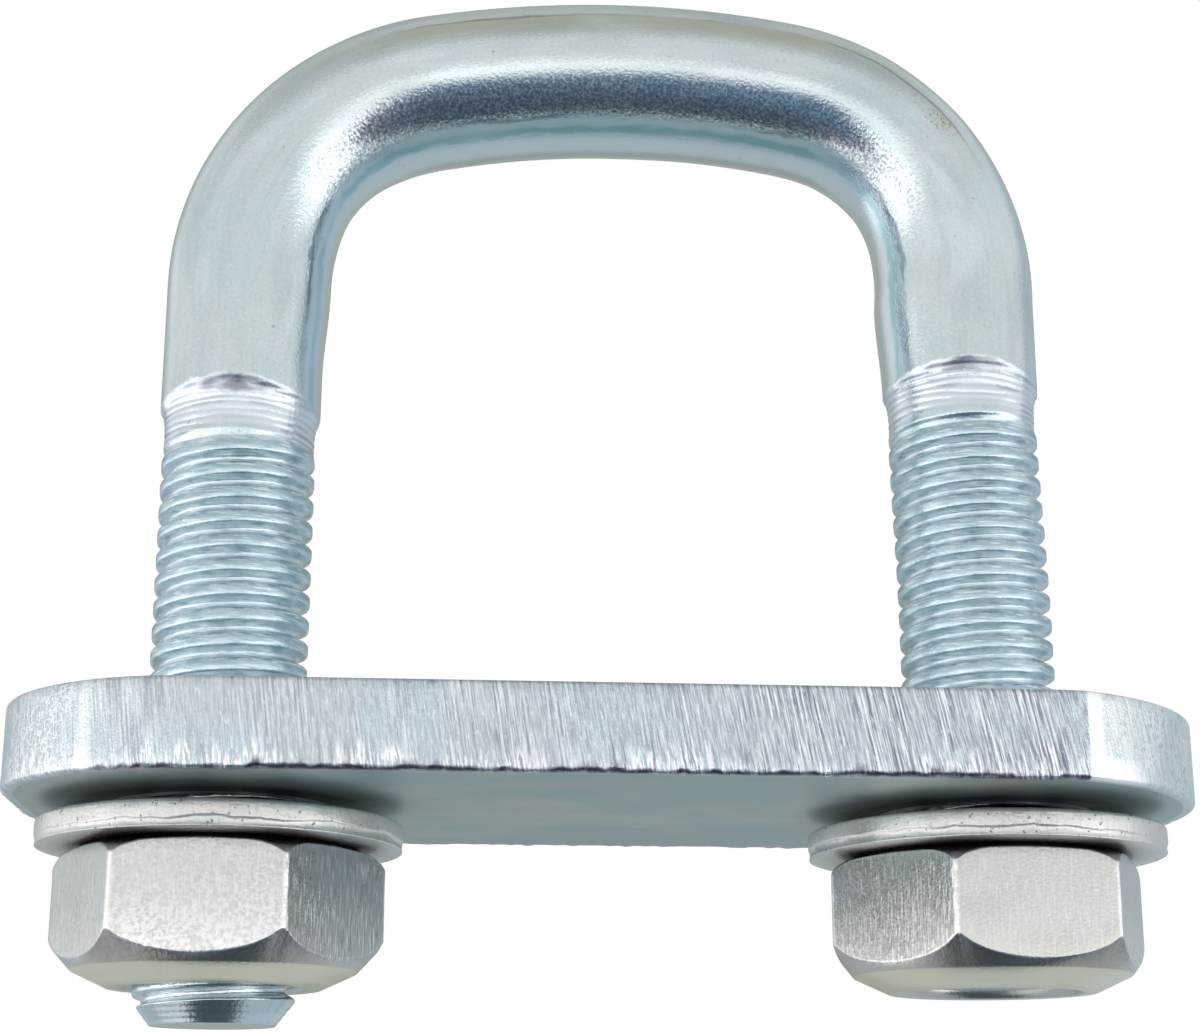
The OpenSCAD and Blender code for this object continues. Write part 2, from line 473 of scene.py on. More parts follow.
def bend_surface(lean, theta):
    """Radius of the bends and their marks, by the lean of the outward normal from upright in degrees."""
    seam = smooth((lean - SEAM_FROM) / SEAM_FADE) * smooth((SEAM_TO - lean) / SEAM_FADE)
    lean = np.radians(np.abs(lean))
    thinning = smooth((lean - CROWN_LEAN) / (QUARTER - CROWN_LEAN))
    along_dent = np.clip((lean - CROWN_LEAN) / (DENT_END * QUARTER - CROWN_LEAN), 0, 1)
    dent = np.sin(along_dent * math.pi) ** 2
    bulge = smooth((lean - BULGE_FROM * QUARTER) / ((1 - BULGE_FROM) * QUARTER))
    inside = (BEND_BULGE * bulge - BEND_DENT * dent) * inner_side(theta)
    # Painted glints: the band of the crown that shows the dark reflection
    sparkle = smooth((SPARKLE_END * QUARTER - lean) / 0.3)
    sparkle = sparkle * smooth((theta - SPARKLE_FROM) / 0.15) * smooth((SPARKLE_TO - theta) / 0.08)
    return BAR_R - (BAR_R - LEG_R) * thinning + inside, {"bend": seam, "sparkle": sparkle}


def end_cap(ring, leg_x, end):
    """Rings that close an end face towards its middle."""
    middle = np.array((leg_x, 0, end))
    shrink = np.array([(share, share, 1) for share in CAP_SHARES])
    return middle + (ring - middle) * shrink[:, None, :]


def build_rod(material):
    """The U-shaped bar with its rolled threads, as one swept tube from the left end to the right end."""
    left = leg_path("left", -1)
    right = [rows[::-1] for rows in leg_path("right", 1)]
    left_meeting, right_meeting = QUARTER + CROWN_LEAN, QUARTER - CROWN_LEAN
    stretches = [
        left,
        arc((-SHOULDER_X, SHOULDER_Z), SHOULDER_R, math.pi, left_meeting, PLAIN_STEP),
        arc((0, CROWN_Z), CROWN_R, left_meeting, right_meeting, PLAIN_STEP),
        arc((SHOULDER_X, SHOULDER_Z), SHOULDER_R, right_meeting, 0, PLAIN_STEP),
        right,
    ]
    centre, normal = [np.concatenate(rows) for rows in zip(*stretches)]
    left_z, right_z = left[0][:, 1:], right[0][:, 1:]
    lean = np.degrees(np.arctan2(normal[:, :1], normal[:, 1:]))
    stand = np.interp(lean, BEND_LEAN, BEND_STAND)
    stand[-len(right_z):] *= smooth((right_z - TOE_FROM) / TOE_RUN)
    centre = centre + stand * normal

    theta = np.linspace(0, TURN, BAR_SIDES, endpoint=False)[None, :]
    surfaces = [
        leg_surface(left_z, theta, "left"),
        bend_surface(lean[len(left_z):-len(right_z)], theta),
        leg_surface(right_z, theta, "right"),
    ]
    radius = np.concatenate([part for part, part_marks in surfaces])
    marks = {}
    for name in (*surfaces[0][1], *surfaces[1][1]):
        parts = [np.broadcast_to(part_marks.get(name, 0.0), part.shape) for part, part_marks in surfaces]
        marks[name] = np.concatenate(parts)
    wave = ring_noise(theta, 1.2, path_length(centre)[:, None] / WAVE_RUN, 7)
    radius = radius + WAVE * wave * (1 - marks["thread"])
    out = radius * np.cos(theta)
    rings = np.stack([
        centre[:, :1] + out * normal[:, :1],
        radius * np.sin(theta),
        centre[:, 1:] + out * normal[:, 1:],
    ], axis=-1)
    marks["rust"] = smooth(1 - np.linalg.norm(rings - np.array(RUST_AT), axis=-1) / RUST_REACH)

    left_cap = end_cap(rings[0], -LEG_X, LEG_ENDS["left"])
    right_cap = end_cap(rings[-1], LEG_X, LEG_ENDS["right"])
    rings = np.concatenate([left_cap[::-1], rings, right_cap])
    cap_rows = (len(CAP_SHARES), len(CAP_SHARES))
    marks = {name: np.pad(values, (cap_rows, (0, 0))) for name, values in marks.items()}
    faces = list(ring_faces(len(rings), BAR_SIDES, False))
    across = np.linspace(0, TURN * BAR_R, BAR_SIDES + 1)
    uvs = list(grid_uvs(*np.meshgrid(across, path_length(rings[:, 0]))))
    first = np.arange(BAR_SIDES)
    faces += [first[::-1], first + (len(rings) - 1) * BAR_SIDES]
    uvs += [np.zeros((BAR_SIDES, 2))] * 2
    return make_mesh("zinc_u_rod", rings.reshape(-1, 3), faces, uvs, marks, [material])


# Washers


def build_washer(side, material):
    """A punched washer with a rolled upper edge and a ragged shear step low on its rim."""
    low, high = box_mm("washer_" + side)
    seed = WASHER_SEEDS[side]
    centre_x = (low[0] + high[0]) / 2
    rim_r = (high[0] - low[0]) / 2
    bottom, top = low[2], high[2]
    step = bottom + SHEAR_STEP
    # Radius, height and fillet of each corner: upper face outwards, down the rim, lower face inwards
    profile = np.array([
        (WASHER_HOLE_R, top, 0.2),
        (WASHER_ROW_R, top, 0),
        (rim_r - 1.2, top, 0),
        (rim_r, top, 0.45),
        (rim_r, top - 0.65, 0),
        (rim_r, step + 0.1, 0.05),
        (rim_r - 0.06, step - 0.02, 0.05),
        (rim_r - 0.09, bottom + 0.2, 0),
        (rim_r - 0.02, bottom, 0.12),
        (rim_r - 0.6, bottom, 0),
        (WASHER_ROW_R, bottom, 0),
        (WASHER_HOLE_R, bottom, 0.15),
    ])
    step_corners = [5, 6]
    angle = np.linspace(0, TURN, WASHER_SIDES, endpoint=False)
    outline = np.tile(profile[:, None, :2], (1, WASHER_SIDES, 1))
    ragged = 0.12 * ring_noise(angle, 5, 0, seed) + 0.05 * ring_noise(angle, 22, 0, seed + 1)
    outline[step_corners, :, 1] += ragged
    rows = rounded(outline, profile[:, 2])
    radius, height = rows[..., 0], rows[..., 1]
    ring_x, ring_y = np.cos(angle), np.sin(angle)
    rim = smooth((radius - rim_r + 0.5) / 0.4)
    radius = radius + rim * 0.02 * noise(radius * ring_x * 1.6, radius * ring_y * 1.6, height * 2.5, seed + 2)
    height = height + 0.02 * noise(radius * ring_x / 4, radius * ring_y / 4, 0, seed + 3)
    points = np.stack([centre_x + radius * ring_x, radius * ring_y, height], axis=-1)
    # Painted shade in the narrow gaps: near the hole on the upper face, and where the nut presses on the
    # lower face
    upper_shade = 0.55 * smooth((UPPER_SHADE_R - radius) / SHADE_FADE)
    lower_shade = smooth((LOWER_SHADE_R - radius) / SHADE_FADE)
    painted_shade = np.where(height > (bottom + top) / 2, upper_shade, lower_shade)
    across = np.linspace(0, TURN * rim_r, WASHER_SIDES + 1)
    along = path_length(rows[:, 0])
    return make_rings("zinc_washer_" + side, points, across, along, {"painted_shade": painted_shade}, material)


# Nuts


def nut_angles(turn):
    """Angles around a nut, close together at its six corners."""
    sixth = [*CORNER_COLUMNS, 30, *[60 - offset for offset in CORNER_COLUMNS[:0:-1]]]
    degrees = np.array([corner * 60 + offset for corner in range(6) for offset in sixth])
    return np.radians(degrees) + turn


def nut_outside(corner, bottom, top):
    """Rows of radius and height from the bore's upper mouth over the flats to its lower mouth."""
    column = np.ones_like(corner)
    mouth = (NUT_BORE_R + COUNTERSINK) * column
    bore = NUT_BORE_R * column
    corners = [(bore, (top - COUNTERSINK) * column), (mouth, top * column)]
    for share in UPPER_ROWS:
        radius = UPPER_RADII[0] + (corner - UPPER_RADII[0]) * share
        corners.append((radius, top - np.interp(radius, UPPER_RADII, UPPER_RISE)))
    flat_top = top - np.interp(corner, UPPER_RADII, UPPER_RISE)
    flat_bottom = bottom + np.interp(corner, LOWER_RADII, LOWER_RISE)
    for share in FLAT_ROWS:
        corners.append((corner, flat_top * (1 - share) + flat_bottom * share))
    for radius in LOWER_ROWS:
        corners.append((radius * column, bottom + np.interp(radius, LOWER_RADII, LOWER_RISE) * column))
    corners += [(mouth, bottom * column), (bore, (bottom + COUNTERSINK) * column)]
    flat_fillets = [0.1, *[0] * (len(FLAT_ROWS) - 2), 0.1]
    fillets = [0, 0.12, *[0] * len(UPPER_ROWS), *flat_fillets, *[0] * len(LOWER_ROWS), 0.12, 0]
    return rounded(np.array([np.stack(pair, axis=-1) for pair in corners]), fillets)


def nut_bore(angle, side, bottom, top):
    """Rows of radius and height up the threaded bore, which is plain at both mouths."""
    low, high = bottom + COUNTERSINK, top - COUNTERSINK
    height = np.arange(low, high, PITCH / BORE_ROWS_PER_PITCH)[1:, None]
    depth = thread_depth(thread_turns(height, angle[None, :], side))
    inside = smooth(np.minimum(height - low, high - height) / 0.5)
    radius = NUT_BORE_R + NUT_THREAD_DEPTH * (1 - depth) * inside
    return np.stack([radius, np.broadcast_to(height, radius.shape)], axis=-1)


def build_nut(side, material):
    """A hexagon nut, chamfered on both ends, with a threaded bore."""
    low, high = box_mm("nut_" + side)
    turn = NUT_TURNS[side]
    centre_x = (low[0] + high[0]) / 2
    bottom, top = low[2], high[2]
    angle = nut_angles(turn)
    in_face = (angle - turn) % (TURN / 6) - TURN / 12
    sharp = FLATS / 2 / np.cos(in_face)
    corner = -CORNER_BLEND * np.logaddexp(-sharp / CORNER_BLEND, -CORNERS_R / CORNER_BLEND)
    rows = np.concatenate([nut_outside(corner, bottom, top), nut_bore(angle, side, bottom, top)])
    radius, height = rows[..., 0], rows[..., 1]
    ring_x, ring_y = np.cos(angle), np.sin(angle)
    on_flat = smooth((radius - corner + 0.1) / 0.08)
    dents = noise(radius * ring_x / 2.5, radius * ring_y / 2.5, height / 2.5, NUT_SEEDS[side])
    radius = radius + 0.02 * on_flat * dents
    points = np.stack([centre_x + radius * ring_x, radius * ring_y, height], axis=-1)

    face = ((angle - turn) % TURN / (TURN / 6)).astype(int) % 6
    over_bottom = height - bottom
    on_ends = (1 - on_flat) * smooth((radius - NUT_BORE_R - 0.5) / 0.3)
    low_wear = 0.35 + 0.65 * smooth(1 - (over_bottom - 1) / 4.5)
    # Band on the lower chamfer that is darkened as a painted reflection, strongest on the front towards -Y
    darkened = smooth((over_bottom - 0.95) / 0.15) * smooth((3.4 - over_bottom) / 0.5) * on_ends
    marks = {
        "grain": np.array(NUT_GRAIN[side])[face] * on_flat,
        "wear": np.array(NUT_WEAR[side])[face] * on_flat * low_wear,
        "upper": smooth((over_bottom - 2) / 5),
        "edge": smooth(1 - np.abs(in_face - np.sign(in_face) * TURN / 12) / 0.024) * on_flat,
        # Painted shade on the upper end, in the gap under the washer
        "painted_shade": smooth((height - top + 1) / 0.6) * on_ends,
        "shade": darkened * (0.35 + 0.65 * smooth((-ring_y - 0.55) / 0.35)),
        "ring": smooth((1.1 - over_bottom) / 0.15) * on_ends,
    }
    across = np.append(angle, angle[0] + TURN) * CORNERS_R
    return make_rings("zinc_nut_" + side, points, across, path_length(rows[:, 0]), marks, material)


# Plate


def plate_outline():
    """Points around the plate, their outward normals, and 1 where the front right corner is ground."""
    half_x, half_y = plate_high[:2] - CORNER_R
    corner_centres = np.array([(half_x, half_y), (-half_x, half_y), (-half_x, -half_y), (half_x, -half_y)])
    points, normals = [], []
    for index, centre in enumerate(corner_centres):
        stop = (index + 1) * QUARTER
        corner_points, corner_normals = arc(centre, CORNER_R, index * QUARTER, stop, WALL_STEP)
        side_normal = np.array((math.cos(stop), math.sin(stop)))
        side_start = centre + CORNER_R * side_normal
        side_stop = corner_centres[(index + 1) % 4] + CORNER_R * side_normal
        count = int(np.linalg.norm(side_stop - side_start) / WALL_STEP)
        share = np.linspace(0, 1, count, endpoint=False)[:, None]
        points += [corner_points, side_start + (side_stop - side_start) * share]
        normals += [corner_normals, np.tile(side_normal, (count, 1))]
    points = np.concatenate(points)
    normals = np.concatenate(normals)
    centre = np.array((plate_high[0] - GROUND_R, 0))
    distance = np.linalg.norm(points - centre, axis=-1)
    direction = (points - centre) / distance[:, None]
    ground = (direction[:, 0] > 0) & (direction[:, 1] < 0) & (distance > GROUND_R)
    points[ground] = (centre + GROUND_R * direction)[ground]
    normals[ground] = direction[ground]
    # Near the ground corner's sharp edge the normals turn gradually, so that rows drawn in don't cross
    reach = range(-NORMAL_REACH, NORMAL_REACH + 1)
    normals = np.mean([np.roll(normals, shift, axis=0) for shift in reach], axis=0)
    normals = normals / np.linalg.norm(normals, axis=-1, keepdims=True)
    return points, normals, ground.astype(float)


def shear_marks(slanted, level, score):
    """How far the sheared wall stands out and how torn it is. Level is 0 at the lower edge and 1 above."""
    patchy = smooth(0.5 + noise(slanted / 6, 0, level * 1.2, 11))
    fine = noise(slanted / 0.34, 0, level * 1.5, 12)
    broad = noise(slanted / 0.9, 0, level * 0.7, 13)
    torn_top = 0.22 + 0.1 * noise(slanted / 2.6, 0, 0, 14) + 0.14 * noise(slanted / 0.4, 0, 0, 15)
    torn = smooth((torn_top - level) / 0.2)
    rough = noise(slanted / 0.36, 0, level * 6, 16)
    scored = (0.025 * fine + 0.015 * broad) * score * (0.4 + 0.6 * patchy)
    return scored + torn * (0.05 * rough - 0.025), torn


def plate_wall():
    """The wall, drawn in over the edge of both faces: points in rows, UVs, marks, outline and normals."""
    outline, normals, ground = plate_outline()
    corners = [(-FACE_INSET, PLATE_TOP), (-UPPER_EDGE_R * 1.6, PLATE_TOP), (0, PLATE_TOP)]
    corners += [(0, PLATE_TOP + (PLATE_BOTTOM - PLATE_TOP) * share) for share in WALL_ROWS]
    corners += [(0, PLATE_BOTTOM), (-LOWER_EDGE_R * 2, PLATE_BOTTOM), (-FACE_INSET, PLATE_BOTTOM)]
    fillets = [0, 0, UPPER_EDGE_R, *[0] * len(WALL_ROWS), LOWER_EDGE_R, 0, 0]
    rows = rounded(np.array(corners)[:, None, :], fillets)
    inset = np.repeat(rows[..., 0], len(outline), axis=1)
    height = np.repeat(rows[..., 1], len(outline), axis=1)
    around = path_length(outline)
    # Score lines lean more, and bite deeper, towards the right of the front and the left of the back
    rightward = smooth(0.5 + outline[:, 0] * -np.sign(normals[:, 1]) / plate_high[0] * 0.6)
    sheared = 1 - ground
    straight = smooth((np.abs(normals[:, 1]) - 0.7) / 0.25) * sheared
    score = (0.35 + 0.65 * rightward) * (0.2 + 0.8 * sheared)
    slanted = around - (SCORE_LEAN + SCORE_LEAN_MORE * rightward) * (PLATE_TOP - height)
    on_wall = smooth((inset + 0.45) / 0.35)
    stand, torn = shear_marks(slanted, (height - PLATE_BOTTOM) / (PLATE_TOP - PLATE_BOTTOM), score)
    ragged = noise(around / 0.6, 0, 0, 21) + 0.7 * noise(around / 2.3, 0, 0, 22)
    burr = smooth((PLATE_BOTTOM + 0.5 - height) / 0.4) * (0.15 + 0.85 * straight)
    brink = smooth((PLATE_BOTTOM + 0.26 + 0.16 * ragged - height) / 0.16) * straight
    brink = brink * smooth((inset + 0.5) / 0.3)
    from_edge = around - around[np.argmax(ground)]
    # Painted highlights: a strip beside the ground corner's sharp edge, a foot along its lower edge, and a
    # faint line on the front left corner
    strip = smooth((HIGHLIGHT_WIDTH - from_edge) / 0.3)
    foot = smooth((HIGHLIGHT_HEIGHT + PLATE_BOTTOM - height) / 0.6) * smooth((HIGHLIGHT_RUN - from_edge) / 2.5)
    left_highlight = 0.5 * smooth(1 - np.abs(outline[:, 0] + LEFT_HIGHLIGHT) / 0.6) * smooth(-normals[:, 1])
    inset = inset + stand * (0.2 + 0.8 * sheared) * on_wall
    height = height + burr * on_wall * BURR * ragged
    points = np.dstack([outline + inset[..., None] * normals, height])
    marks = {
        "torn": torn * on_wall * sheared,
        "score": score * on_wall,
        "ground": ground * on_wall,
        "painted_highlight": np.maximum(np.maximum(strip, foot) * ground, left_highlight) * on_wall,
        "brink": brink,
        "upper_edge": smooth((height - PLATE_TOP + 0.5) / 0.3) * on_wall * sheared,
        "corner": np.maximum(1 - straight, ground) * on_wall,
    }
    u = np.concatenate([slanted, 2 * slanted[:, -1:] - slanted[:, -2:-1]], axis=1)
    v = np.broadcast_to(path_length(rows[:, 0])[:, None], u.shape)
    return points, grid_uvs(u, v), marks, outline, normals


def plate_hole(hole_x):
    """Points in rows and UVs of one punched hole's wall."""
    # Distance from the wall, height and fillet of each corner
    profile = np.array([
        (HOLE_RIM, PLATE_TOP, 0),
        (0.5, PLATE_TOP, 0.2),
        (0, PLATE_TOP - 0.45, 0.25),
        (0, PLATE_TOP - 2.5, 0),
        (0.06, PLATE_BOTTOM + 0.6, 0.1),
        (0.1, PLATE_BOTTOM, 0.15),
        (HOLE_RIM, PLATE_BOTTOM, 0),
    ])
    rows = rounded(profile[:, None, :2], profile[:, 2])
    angle = np.linspace(0, TURN, HOLE_SIDES, endpoint=False)
    radius = HOLE_R + rows[..., 0]
    height = np.repeat(rows[..., 1], HOLE_SIDES, axis=1)
    points = np.stack([hole_x + radius * np.cos(angle), radius * np.sin(angle), height], axis=-1)
    across = np.linspace(0, TURN * HOLE_R, HOLE_SIDES + 1)
    return points, grid_uvs(*np.meshgrid(across, path_length(rows[:, 0])))


def face_spots(outline, normals):
    """Grid points well inside the plate's flat faces."""
    reach_x, reach_y = plate_high[:2] - 1
    grid = np.meshgrid(np.arange(-reach_x, reach_x, FACE_SPACING), np.arange(-reach_y, reach_y, FACE_SPACING))
    spots = np.stack([grid[0].ravel(), grid[1].ravel()], axis=-1)
    nearest = np.argmin(np.linalg.norm(spots[:, None] - outline[None], axis=-1), axis=1)
    past_wall = np.einsum("ij,ij->i", spots - outline[nearest], normals[nearest])
    clear = past_wall < -FACE_INSET - FACE_CLEARANCE
    for hole_x in (-LEG_X, LEG_X):
        clear &= np.hypot(spots[:, 0] - hole_x, spots[:, 1]) > HOLE_R + HOLE_RIM + FACE_CLEARANCE
    return spots[clear]


def fill_face(points, loop_sizes):
    """Triangles over a plane: points come as the outer loop, then loops of holes, then spots inside."""
    edges = []
    start = 0
    for size in loop_sizes:
        edges += [(start + i, start + (i + 1) % size) for i in range(size)]
        start += size
    flat = [Vector(point) for point in points]
    result = delaunay_2d_cdt(flat, edges, [], INSIDE_EDGES, SAME_POINT)
    triangles = [np.array([result[3][i][0] for i in face]) for face in result[2]]
    return [face for face in triangles if not np.all((face >= loop_sizes[0]) & (face < start))]


def build_plate(wall_material, face_material):
    """The clamp plate: sheared walls, a ground corner, two punched holes and flat faces."""
    wall, wall_uvs, marks, outline, normals = plate_wall()
    row_count, columns = wall.shape[:2]
    wall_count = row_count * columns
    faces = list(ring_faces(row_count, columns, False)[:, ::-1])
    uvs = list(wall_uvs[:, ::-1])
    # The wall's first and last row of quads lie on the flat faces
    on_face = [1] * columns
    materials = [*on_face, *[0] * (len(faces) - 2 * columns), *on_face]
    vertices = [wall.reshape(-1, 3)]
    count = wall_count
    loops = {1: [np.arange(columns)], -1: [np.arange(columns) + count - columns]}
    for hole_x in (-LEG_X, LEG_X):
        hole, hole_uvs = plate_hole(hole_x)
        faces += list(ring_faces(len(hole), HOLE_SIDES, False, count))
        uvs += list(hole_uvs)
        materials += [0] * len(hole_uvs)
        vertices.append(hole.reshape(-1, 3))
        loops[1].append(np.arange(HOLE_SIDES) + count)
        count += len(vertices[-1])
        loops[-1].append(np.arange(HOLE_SIDES) + count - HOLE_SIDES)
    spots = face_spots(outline, normals)
    for side, level in ((1, PLATE_TOP), (-1, PLATE_BOTTOM)):
        uneven = FACE_WAVE * noise(spots[:, 0] / 6, spots[:, 1] / 6, level, 25)
        vertices.append(np.column_stack([spots, level + uneven]))
        numbers = np.concatenate([*loops[side], np.arange(len(spots)) + count])
        count += len(spots)
        placed = np.concatenate(vertices)
        for face in fill_face(placed[numbers][:, :2], [len(loop) for loop in loops[side]]):
            ids = numbers[face[::side]]
            faces.append(ids)
            uvs.append(placed[ids][:, :2])
            materials.append(1)
    placed = np.concatenate(vertices)
    padded = {}
    for name, values in marks.items():
        padded[name] = np.zeros(count)
        padded[name][:wall_count] = values.ravel()
    # Painted shade: the lower mouths of the holes are as dark as the lower brink
    from_leg = np.hypot(np.abs(placed[:, 0]) - LEG_X, placed[:, 1])
    hole_shade = smooth((PLATE_BOTTOM + 3 - placed[:, 2]) / 1.5) * (from_leg < HOLE_R + HOLE_RIM - 0.1)
    padded["brink"] = np.maximum(padded["brink"], hole_shade)
    zinc = [wall_material, face_material]
    return make_mesh("zinc_clamp_plate", placed, faces, uvs, padded, zinc, materials)


# Materials


class Nodes:
    """Adds shader nodes to a tree. An input is another node's output, a number, a vector or a colour."""

    def __init__(self, tree):
        self.tree = tree

    def put(self, socket, value):
        """Links an output to an input, or sets the input."""
        if isinstance(value, bpy.types.NodeSocket):
            self.tree.links.new(value, socket)
        else:
            socket.default_value = (*value, 1) if socket.type == "RGBA" else value

    def add(self, kind, inputs=None, **settings):
        """Outputs of a new node with its properties and inputs set."""
        made = self.tree.nodes.new("ShaderNode" + kind)
        for name, value in settings.items():
            setattr(made, name, value)
        for name, value in (inputs or {}).items():
            self.put(made.inputs[name], value)
        return made.outputs

    def calculate(self, operation, first, second=0.0):
        """Result of one operation on values."""
        return self.add("Math", {0: first, 1: second}, operation=operation)[0]

    def times(self, product, *factors):
        """Product of values."""
        for factor in factors:
            product = self.calculate("MULTIPLY", product, factor)
        return product

    def plus(self, first, second):
        """Sum of two values."""
        return self.calculate("ADD", first, second)

    def apart(self, first, second):
        """How far two values are apart."""
        return self.calculate("ABSOLUTE", self.calculate("SUBTRACT", first, second))

    def remap(self, value, low, high, to_low=0.0, to_high=1.0):
        """A value taken smoothly from one range to another."""
        inputs = {"Value": value, "From Min": low, "From Max": high, "To Min": to_low, "To Max": to_high}
        return self.add("MapRange", inputs, interpolation_type="SMOOTHSTEP")[0]

    def blend(self, share, first, second):
        """A colour between two colours."""
        return self.add("Mix", {0: share, 6: first, 7: second}, data_type="RGBA")[2]


class Metal(Nodes):
    """A metal material that is painted in layers.

    A layer's share is the product of its parts: a mark's name, remap's inputs as a tuple, an output
    or a number.
    """

    def __init__(self, name, colour):
        self.colour = colour
        self.material = bpy.data.materials.new(name)
        self.material.use_nodes = True
        super().__init__(self.material.node_tree)
        coordinates = self.add("TexCoord")
        self.place = coordinates["Object"]
        self.uv = coordinates["UV"]

    def texture(self, source, scale, size, detail, seed):
        """Noise with that many cells for each metre of a scaled coordinate."""
        location = (seed, seed * 0.7, seed * 0.3)
        mapped = self.add("Mapping", {"Vector": source, "Location": location, "Scale": scale})[0]
        return self.add("TexNoise", {"Vector": mapped, "Scale": size, "Detail": detail})["Fac"]

    def solid(self, size, detail=3, seed=0, scale_x=1):
        """Noise through the solid. A scale below one makes it longer along X."""
        return self.texture(self.place, (scale_x, 1, 1), size, detail, seed)

    def surface(self, scale_u, scale_v, size, detail=3, seed=0):
        """Noise on the surface. A scale below one makes it longer that way: u runs around, v along."""
        return self.texture(self.uv, (scale_u, scale_v, 1), size, detail, seed)

    def mark(self, name):
        """Value that the mesh carries under that name."""
        return self.add("Attribute", attribute_name=name)["Fac"]

    def share(self, *parts):
        """Product of the parts of a layer's share."""
        values = []
        for part in parts:
            if isinstance(part, str):
                part = self.mark(part)
            elif isinstance(part, tuple):
                part = self.remap(*part)
            values.append(part)
        return self.times(*values)

    def paint(self, colour, *parts):
        """Covers what is painted so far with a colour."""
        self.colour = self.blend(self.share(*parts), self.colour, colour)

    def finish(self, roughness, height, relief, metallic):
        """Hands colour, roughness and relief to the metal's shader, and gives the material."""
        inputs = self.tree.nodes["Principled BSDF"].inputs
        self.put(inputs["Metallic"], metallic)
        self.put(inputs["Base Color"], self.colour)
        self.put(inputs["Roughness"], roughness)
        bump = self.add("Bump", {"Strength": 1.0, "Distance": relief * MM, "Height": height})
        self.put(inputs["Normal"], bump[0])
        return self.material


def paint_bar(zinc, cloud, lines):
    """Stains, drawing lines, scratches and speckle of the plain bar, and painted glints and dark specks where
    the crown shows its dark reflection.
    """
    zinc.paint((0.61, 0.665, 0.67), (cloud, 0.35, 0.65))
    lilac = zinc.solid(210, 2, 4)
    zinc.paint((0.58, 0.62, 0.69), (lilac, 0.5, 0.7, 0, 0.5))
    zinc.paint((0.45, 0.53, 0.54), (lines, 0.5, 0.75, 0, 0.3))
    stains = zinc.surface(1, 0.3, 320, 4, 15)
    zinc.paint((0.46, 0.54, 0.55), (stains, 0.46, 0.7, 0, 0.75))
    pale = zinc.surface(1, 0.2, 420, 4, 18)
    zinc.paint((0.68, 0.75, 0.78), (pale, 0.52, 0.7, 0, 0.7))
    scratches = zinc.surface(1, 0.06, 4200, 2, 16)
    zinc.paint((0.83, 0.88, 0.9), (scratches, 0.68, 0.73, 0, 0.3))
    speckle = zinc.solid(5600, 3, 8)
    zinc.paint((0.4, 0.48, 0.51), (speckle, 0.5, 0.72, 0, 0.25))
    zinc.paint((0.76, 0.82, 0.84), (speckle, 0.45, 0.28, 0, 0.25))
    # Painted glints and dark specks in the crown's dark reflection band
    zinc.paint((0.95, 0.97, 1.0), (speckle, 0.5, 0.6), "sparkle")
    zinc.paint((0.36, 0.42, 0.5), (speckle, 0.46, 0.38), "sparkle")


def paint_inner_strip(zinc, cloud, around, ragged):
    """Strip along the inside of the U: a paler middle, a teal line and a thin broken border."""
    from_inside = zinc.plus(zinc.apart(around, math.pi * BAR_R * MM), ragged)
    zinc.paint((0.56, 0.67, 0.73), (from_inside, (INNER_STRIP + 0.06) * MM, (INNER_STRIP - 0.06) * MM))
    zinc.paint((0.62, 0.68, 0.68), (from_inside, (INNER_MIDDLE + 0.7) * MM, INNER_MIDDLE * MM))
    from_line = zinc.apart(from_inside, SECOND_LINE * MM)
    zinc.paint((0.33, 0.51, 0.54), (from_line, 0.5 * MM, 0.1 * MM, 0, 0.9), (cloud, 0.36, 0.52, 0.3, 1))
    from_border = zinc.apart(from_inside, INNER_STRIP * MM)
    broken = zinc.surface(1, 0.15, 500, 3, 9)
    zinc.paint((0.24, 0.29, 0.36), (from_border, 0.24 * MM, 0.06 * MM), (broken, 0.44, 0.58, 0.1, 0.8))


def paint_seam(zinc, cloud, around, ragged):
    """Drawing seam along the outside of the bend, with an olive stain below it. Gives the seam's share."""
    below = zinc.calculate("SUBTRACT", SEAM_ANGLE * BAR_R * MM, around)
    below = zinc.plus(below, zinc.times(ragged, 0.5))
    stain = zinc.share((below, -0.1 * MM, 0.1 * MM), (below, 2.2 * MM, 0.4 * MM))
    zinc.paint((0.46, 0.48, 0.36), stain, (cloud, 0.4, 0.6, 0.05, 0.65), "bend")
    from_seam = zinc.calculate("ABSOLUTE", below)
    broken = zinc.surface(1, 0.1, 900, 3, 14)
    seam = zinc.share((from_seam, 0.2 * MM, 0.06 * MM, 0, 0.75), (broken, 0.38, 0.56), "bend")
    zinc.paint((0.26, 0.28, 0.28), seam)
    return seam


